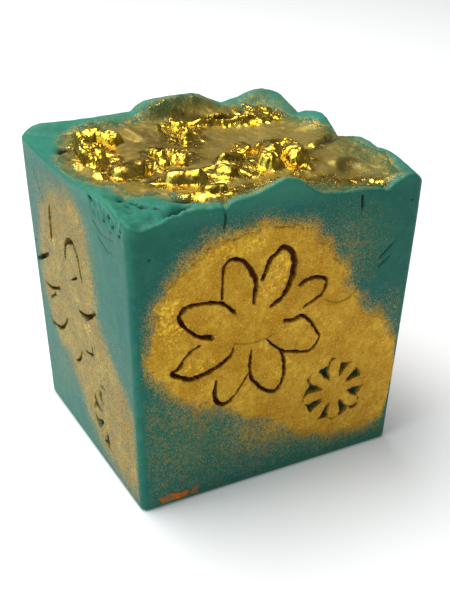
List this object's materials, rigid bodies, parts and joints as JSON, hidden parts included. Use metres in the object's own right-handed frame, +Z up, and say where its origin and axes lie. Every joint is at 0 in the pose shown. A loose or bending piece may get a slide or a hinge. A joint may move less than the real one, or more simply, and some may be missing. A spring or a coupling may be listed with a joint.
{
  "type": "decorative soap bar",
  "caption": "Square cast soap block with drafted walls, a torn poured top under a gold mica skin, and daisy marks pressed through gold mica on its walls.",
  "frame": {"origin": "middle of the base that the bar stands on, under the middle of its bounding box", "axes": "+Z up; -Y out of the front wall, whose copper smear marks it; +X to the right as seen from the front"},
  "size_m": [0.064, 0.058, 0.0668],
  "materials": {
    "teal_soap": "waxy, slightly translucent cast soap, satin",
    "gold_mica_skin": "matt to satin champagne gold mica film",
    "bright_gold": "glossy gold mica in oil, crumpled",
    "gold_dust": "pressed gold mica powder, grainy",
    "copper_mica": "smeared copper mica powder"
  },
  "bodies": {
    "root": {"soap_block": "teal_soap", "gold_top_skin": "gold_mica_skin", "gold_crumple_left": "bright_gold", "gold_pool_left": "bright_gold", "gold_crumple_centre": "bright_gold", "gold_crumple_rear": "bright_gold", "gold_nuggets_middle": "bright_gold", "gold_nuggets_front": "bright_gold", "front_dust_field": "gold_dust", "front_daisy_gilding": "gold_dust", "front_small_daisy_gilding": "gold_dust", "right_dust_field": "gold_dust", "right_daisy_gilding": "gold_dust", "right_small_daisy_gilding": "gold_dust", "back_dust_field": "gold_dust", "back_daisy_gilding": "gold_dust", "back_small_daisy_gilding": "gold_dust", "left_dust_field": "gold_dust", "left_daisy_gilding": "gold_dust", "left_small_daisy_gilding": "gold_dust", "copper_smear": "copper_mica"}
  },
  "joints": []
}
